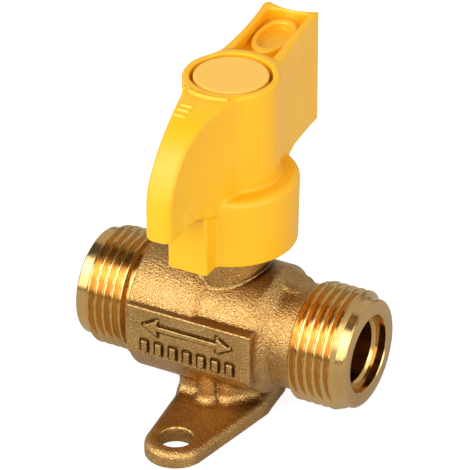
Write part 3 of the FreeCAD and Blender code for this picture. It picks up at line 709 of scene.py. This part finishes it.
def lever(x, y, z):
    rho = np.sqrt(x * x + y * y)
    lx = x * math.cos(LEAN) + y * math.sin(LEAN) - TAIL_SHIFT
    ly = -x * math.sin(LEAN) + y * math.cos(LEAN)
    d = join(grip(x, y, z, lx, ly, rho), skirt_and_lug(x, y, z, rho), r=0.6)
    d = carve(d, skirt_hollow(x, y, z, rho), r=0.2)
    d = carve(d, drive_socket(x, z, rho), r=0.1)
    d = carve(d, meet(rho - CAP_R - CAP_GROOVE, slab(z, CAP_SEAT, ABOVE), r=0.1), r=0.3)
    d = carve(d, tail_tray(lx, ly, z, rho), r=0.35)
    core = meet(np.abs(x) - 1.7, slab(y, -20.0, -16.1), r=CORE_ROUND)
    d = carve(d, meet(core, slab(z, 20, TOP - SLOPE_DROP + 1), r=CORE_ROUND), r=0.2)
    core = meet(np.abs(lx) - 2.4, slab(ly, 14.2, 22.7), r=CORE_ROUND)
    d = carve(d, meet(core, slab(z, 20, TOP - 4.8), r=CORE_ROUND), r=0.2)
    d = join(d, turning_arrow(x, y, z, rho), r=0.15)
    for reach in NOSE_BARS:
        top = TOP - nose_fall(reach)
        bar = meet(slab(x, -2.5, -0.3), slab(y, -reach - NOSE_BAR_HALF, -reach + NOSE_BAR_HALF), r=0.15)
        d = join(d, meet(bar, slab(z, top - 1, top + NOSE_BAR_RAISE), r=0.15), r=0.1)
    return d


def cap(x, y, z):
    rho = np.sqrt(x * x + y * y)
    disc = meet(rho - CAP_R, slab(z, CAP_SEAT, TOP), r=0.3)
    plug = meet(np.abs(rho - PLUG_R) - PLUG_HALF, slab(z, PLUG_LOW, TOP - 1.5), r=0.15)
    return join(disc, plug, r=0.2)


# ---- materials ----------------------------------------------------------------------------------
def new_material(name):
    mat = bpy.data.materials.new(name)
    mat.use_nodes = True
    nodes = mat.node_tree.nodes
    nodes.clear()
    out = nodes.new("ShaderNodeOutputMaterial")
    shader = nodes.new("ShaderNodeBsdfPrincipled")
    mat.node_tree.links.new(shader.outputs[0], out.inputs[0])
    return mat, shader


class Graph:
    """Short calls for a material's nodes."""

    def __init__(self, mat):
        self.tree = mat.node_tree
        self.place = self.node("ShaderNodeTexCoord").outputs["Object"]

    def node(self, kind, **settings):
        n = self.tree.nodes.new(kind)
        for key, value in settings.items():
            setattr(n, key, value)
        return n

    def link(self, a, b):
        self.tree.links.new(a, b)

    def feed(self, socket, value):
        if isinstance(value, bpy.types.NodeSocket):
            self.link(value, socket)
        else:
            socket.default_value = value

    def noise(self, scale, detail=2.0, rough=0.5, stretch=None, seed=0.0):
        place = self.place
        if stretch or seed:
            mapping = self.node("ShaderNodeMapping")
            mapping.inputs["Scale"].default_value = stretch or (1, 1, 1)
            mapping.inputs["Location"].default_value = (seed, seed * 0.7, seed * 1.3)
            self.link(self.place, mapping.inputs["Vector"])
            place = mapping.outputs[0]
        n = self.node("ShaderNodeTexNoise")
        n.inputs["Scale"].default_value = scale
        n.inputs["Detail"].default_value = detail
        n.inputs["Roughness"].default_value = rough
        self.link(place, n.inputs["Vector"])
        return n.outputs["Fac"]

    def cells(self, scale):
        n = self.node("ShaderNodeTexVoronoi")
        n.inputs["Scale"].default_value = scale
        self.link(self.place, n.inputs["Vector"])
        return n.outputs["Distance"]

    def math(self, operation, a, b=0.0, clamp=False):
        n = self.node("ShaderNodeMath", operation=operation, use_clamp=clamp)
        self.feed(n.inputs[0], a)
        self.feed(n.inputs[1], b)
        return n.outputs[0]

    def span(self, value, low, high, to_low, to_high):
        n = self.node("ShaderNodeMapRange")
        self.link(value, n.inputs["Value"])
        for key, v in (("From Min", low), ("From Max", high), ("To Min", to_low), ("To Max", to_high)):
            n.inputs[key].default_value = v
        return n.outputs[0]

    def mix(self, factor, a, b, blend="MIX"):
        n = self.node("ShaderNodeMix", data_type="RGBA", blend_type=blend)
        self.feed(n.inputs["Factor"], factor)
        self.feed(n.inputs[6], a)
        self.feed(n.inputs[7], b)
        return n.outputs[2]

    def attribute(self, name):
        return self.node("ShaderNodeAttribute", attribute_name=name).outputs["Fac"]

    def bump(self, height, strength, distance, below=None):
        n = self.node("ShaderNodeBump")
        n.inputs["Strength"].default_value = strength
        n.inputs["Distance"].default_value = distance
        self.link(height, n.inputs["Height"])
        if below is not None:
            self.link(below, n.inputs["Normal"])
        return n.outputs[0]


def rgb(r, g, b):
    """Display colour, 0 to 255, as the linear colour that a shader takes."""
    def one(v):
        v /= 255
        return v / 12.92 if v <= 0.04045 else ((v + 0.055) / 1.055) ** 2.4
    return (one(r), one(g), one(b), 1.0)


def blasted_brass():
    """Shot-blasted casting: fine grain that sparkles through its bump and through painted glints, with
    painted shade where shut in and outward edges lightened partly by wear and partly by painted highlight.
    """
    mat, shader = new_material("blasted_brass")
    g = Graph(mat)
    tone = g.mix(g.span(g.noise(220, 3), 0.3, 0.7, 0, 1), rgb(182, 136, 72), rgb(204, 161, 94))
    grain = g.noise(3600, 2, 0.55)
    painted_glint = g.noise(5600, 2, 0.6, seed=3.1)
    tone = g.mix(g.span(grain, 0.34, 0.5, 0.5, 0), tone, rgb(112, 72, 28))
    # painted glints: bright specks mixed into the colour, where the roughness is also lower
    tone = g.mix(g.span(painted_glint, 0.56, 0.68, 0, 0.6), tone, rgb(252, 228, 178))
    shut = g.attribute("shut")
    convex = g.attribute("convex")
    # painted shade: the colour darkens to deep brown where the surface is shut in
    tone = g.mix(g.span(shut, 0.05, 0.4, 0, 0.95), tone, rgb(78, 46, 14))
    # lighter on outward edges: partly edge wear, partly a painted highlight
    tone = g.mix(g.span(convex, 0.25, 0.75, 0, 0.5), tone, rgb(238, 196, 126))
    g.link(tone, shader.inputs["Base Color"])
    shader.inputs["Metallic"].default_value = 1.0
    g.link(g.span(painted_glint, 0.35, 0.7, 0.4, 0.22), shader.inputs["Roughness"])
    pits = g.bump(g.cells(2600), 0.3, 0.00016, g.bump(g.noise(700, 2), 0.12, 0.0003))
    g.link(g.bump(grain, 0.66, 0.00024, pits), shader.inputs["Normal"])
    return mat


def turned_brass():
    """Machined brass: bright, with fine tool marks round the pipe axis."""
    mat, shader = new_material("turned_brass")
    g = Graph(mat)
    tone = g.mix(g.span(g.noise(90, 3), 0.3, 0.7, 0, 1), rgb(216, 173, 106), rgb(228, 189, 124))
    marks = g.noise(1.0, 2, 0.6, stretch=(9000, 60, 60))
    tone = g.mix(g.span(marks, 0.3, 0.6, 0.3, 0), tone, rgb(176, 124, 58))
    g.link(tone, shader.inputs["Base Color"])
    shader.inputs["Metallic"].default_value = 1.0
    g.link(g.span(g.noise(700, 3), 0.3, 0.7, 0.12, 0.24), shader.inputs["Roughness"])
    fine = g.bump(marks, 0.12, 0.00006)
    g.link(g.bump(g.noise(1500, 2), 0.05, 0.0001, fine), shader.inputs["Normal"])
    return mat


def moulded_yellow(name, light, dark):
    """Satin moulded plastic with a faint texture, with painted shade deepening the colour where it is shut
    in and a painted highlight on outward edges.
    """
    mat, shader = new_material(name)
    g = Graph(mat)
    tone = g.mix(g.span(g.noise(60, 2), 0.3, 0.7, 0, 1), light, dark)
    # painted shade: deeper orange where the surface is shut in
    tone = g.mix(g.span(g.attribute("shut"), 0.1, 0.7, 0, 0.4), tone, rgb(242, 158, 8))
    # painted highlight: lighter yellow on outward edges
    tone = g.mix(g.span(g.attribute("convex"), 0.3, 0.8, 0, 0.5), tone, rgb(255, 214, 74))
    g.link(tone, shader.inputs["Base Color"])
    fine = g.noise(2400, 2)
    g.link(g.span(g.noise(300, 3), 0.3, 0.7, 0.34, 0.46), shader.inputs["Roughness"])
    g.link(g.bump(fine, 0.12, 0.00006, g.bump(g.noise(240, 2), 0.1, 0.0003)), shader.inputs["Normal"])
    shader.inputs["Subsurface Weight"].default_value = 0.12
    shader.inputs["Subsurface Radius"].default_value = (0.0012, 0.0007, 0.0002)
    shader.inputs["Subsurface Scale"].default_value = 1.0
    return mat


def plain_material(name, light, dark, metallic, rough_low, rough_high, scale, stretch=None, depth=0.00008):
    """Inner pieces: two tones, uneven gloss and a fine surface texture."""
    mat, shader = new_material(name)
    g = Graph(mat)
    pattern = g.noise(scale, 3, 0.6, stretch=stretch)
    g.link(g.mix(g.span(pattern, 0.3, 0.7, 0, 1), light, dark), shader.inputs["Base Color"])
    shader.inputs["Metallic"].default_value = metallic
    g.link(g.span(g.noise(400, 3, seed=1.7), 0.3, 0.7, rough_low, rough_high), shader.inputs["Roughness"])
    g.link(g.bump(pattern, 0.2, depth), shader.inputs["Normal"])
    return mat


CAST = blasted_brass()
TURNED = turned_brass()
LEVER_YELLOW = moulded_yellow("lever_yellow", rgb(250, 188, 22), rgb(247, 180, 14))
CAP_YELLOW = moulded_yellow("cap_yellow", rgb(250, 196, 84), rgb(247, 190, 74))
STEM_BRASS = plain_material("stem_brass", rgb(222, 172, 96), rgb(196, 144, 72), 1.0, 0.16, 0.3,
                            1.0, (60, 60, 6000))
CHROME = plain_material("ball_chrome", rgb(214, 216, 220), rgb(198, 200, 206), 1.0, 0.05, 0.14, 500)
PTFE = plain_material("seat_ptfe", rgb(240, 240, 234), rgb(228, 227, 220), 0.0, 0.35, 0.5, 600)
RUBBER = plain_material("seal_rubber", rgb(26, 26, 27), rgb(38, 37, 36), 0.0, 0.5, 0.7, 1500)
ZINC = plain_material("zinc_steel", rgb(198, 200, 202), rgb(170, 172, 176), 1.0, 0.25, 0.42, 900)

CAD_FINISH = {"stem": STEM_BRASS, "ball": CHROME, "connector_o_ring": RUBBER, "inlet_seat": PTFE,
              "inlet_seat_o_ring": RUBBER, "outlet_seat": PTFE, "outlet_seat_o_ring": RUBBER,
              "stem_thrust_washer": PTFE, "lower_stem_o_ring": RUBBER, "upper_stem_o_ring": RUBBER,
              "screw_washer": ZINC, "handle_screw": ZINC}
for node, finish in CAD_FINISH.items():
    mesh = frame["nodes"][node].data
    if not mesh.materials:
        mesh.materials.append(finish)
    for index in range(len(mesh.materials)):
        mesh.materials[index] = finish


# ---- pieces -------------------------------------------------------------------------------------
def place(obj, material, body, slot, node):
    obj.data.materials.append(material)
    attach(obj, body)
    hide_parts(node)


STEP = 0.2
body_piece = sculpt("casting", casting, (CAST_LEFT, BODY_LO[1], FLOOR), (SEAM, BODY_HI[1], BOSS_TOP), STEP)
place(body_piece, CAST, "body", "cast_brass", "valve_body")
inlet_piece = inlet_end()
place(inlet_piece, TURNED, "body", "machined_brass", "valve_body")
outlet_piece = outlet_end()
place(outlet_piece, TURNED, "body", "machined_brass", "end_connector")
lever_piece = sculpt("lever", lever, (LEVER_LO[0], LEVER_LO[1], SKIRT_BOTTOM),
                     (LEVER_HI[0], LEVER_HI[1], LEVER_HI[2] - AXIS), STEP * 1.1)
place(lever_piece, LEVER_YELLOW, "lever", "lever_plastic", "handle")
cap_piece = sculpt("lever_cap", cap, (-CAP_R, -CAP_R, PLUG_LOW), (CAP_R, CAP_R, TOP), STEP)
place(cap_piece, CAP_YELLOW, "lever", "cap_plastic", "handle_cap")


# ---- floor, light and camera --------------------------------------------------------------------
def stage_floor():
    mesh = bpy.data.meshes.new("floor")
    half = 3.0
    corners = [(-half, -half, 0), (half, -half, 0), (half, half, 0), (-half, half, 0)]
    mesh.from_pydata(corners, [], [(0, 1, 2, 3)])
    obj = bpy.data.objects.new("floor", mesh)
    bpy.context.scene.collection.objects.link(obj)
    mat, shader = new_material("floor_white")
    g = Graph(mat)
    seen = g.node("ShaderNodeLightPath").outputs["Is Camera Ray"]
    g.link(g.mix(seen, (0.56, 0.56, 0.56, 1), (0.4, 0.4, 0.4, 1)), shader.inputs["Base Color"])
    shader.inputs["Emission Color"].default_value = (1, 1, 1, 1)
    g.link(g.math("MULTIPLY", seen, 0.8), shader.inputs["Emission Strength"])
    shader.inputs["Roughness"].default_value = 0.9
    shader.inputs["Specular IOR Level"].default_value = 0.1
    mesh.materials.append(mat)


def studio_world():
    """Light tunnel along the pipe: a tall front softbox, a dark gap overhead and a softer back wall."""
    world = bpy.data.worlds.new("studio")
    bpy.context.scene.world = world
    world.use_nodes = True
    tree = world.node_tree
    background = tree.nodes["Background"]
    place = tree.nodes.new("ShaderNodeTexCoord")
    split = tree.nodes.new("ShaderNodeSeparateXYZ")
    tree.links.new(place.outputs["Generated"], split.inputs[0])
    front = tree.nodes.new("ShaderNodeMath")
    front.operation = "MULTIPLY"
    tree.links.new(split.outputs["Y"], front.inputs[0])
    front.inputs[1].default_value = -1
    angle = tree.nodes.new("ShaderNodeMath")
    angle.operation = "ARCTAN2"
    tree.links.new(split.outputs["Z"], angle.inputs[0])
    tree.links.new(front.outputs[0], angle.inputs[1])
    turn = tree.nodes.new("ShaderNodeMath")
    turn.operation = "DIVIDE"
    tree.links.new(angle.outputs[0], turn.inputs[0])
    turn.inputs[1].default_value = math.pi
    ramp = tree.nodes.new("ShaderNodeValToRGB")
    tree.links.new(turn.outputs[0], ramp.inputs[0])
    stops = [(0, 0.03), (5, 0.04), (9, 2.35), (60, 2.35), (68, 0.1), (106, 0.08), (114, 0.6),
             (165, 0.6), (180, 0.15)]
    band = ramp.color_ramp
    while len(band.elements) > 1:
        band.elements.remove(band.elements[-1])
    band.elements[0].position = 0
    for i, (degrees, level) in enumerate(stops):
        element = band.elements[0] if i == 0 else band.elements.new(degrees / 180)
        v = level / 4
        element.color = (v, v, v, 1)
    tree.links.new(ramp.outputs[0], background.inputs["Color"])
    background.inputs["Strength"].default_value = 4.0


def add_area(name, position, target, size, energy):
    light = bpy.data.lights.new(name, "AREA")
    light.shape = "RECTANGLE"
    light.size, light.size_y = size
    light.energy = energy
    obj = bpy.data.objects.new(name, light)
    bpy.context.scene.collection.objects.link(obj)
    obj.location = position
    obj.rotation_euler = (Vector(target) - Vector(position)).to_track_quat("-Z", "Y").to_euler()


def add_camera():
    azimuth, elevation = math.radians(28.387), math.radians(30.552)
    back = Vector((math.sin(azimuth) * math.cos(elevation), -math.cos(azimuth) * math.cos(elevation),
                   math.sin(elevation)))
    right = Vector((math.cos(azimuth), math.sin(azimuth), 0))
    up = back.cross(right)
    pose = Matrix((right, up, back)).transposed().to_4x4()
    pose.translation = Vector((0.28454, -0.52527, 0.36778 + AXIS * MM))
    data = bpy.data.cameras.new("camera")
    data.sensor_width = 36
    data.lens = 330.9
    data.clip_end = 20
    obj = bpy.data.objects.new("camera", data)
    bpy.context.scene.collection.objects.link(obj)
    obj.matrix_world = pose
    bpy.context.scene.camera = obj


stage_floor()
studio_world()
add_area("key", (-0.5, -0.7, 0.9), (0, 0, 0.03), (0.7, 0.7), 3)
add_area("side", (0.9, -0.1, 0.35), (0, 0, 0.04), (0.6, 0.6), 2.0)
add_camera()
bpy.context.scene.view_settings.view_transform = "Standard"
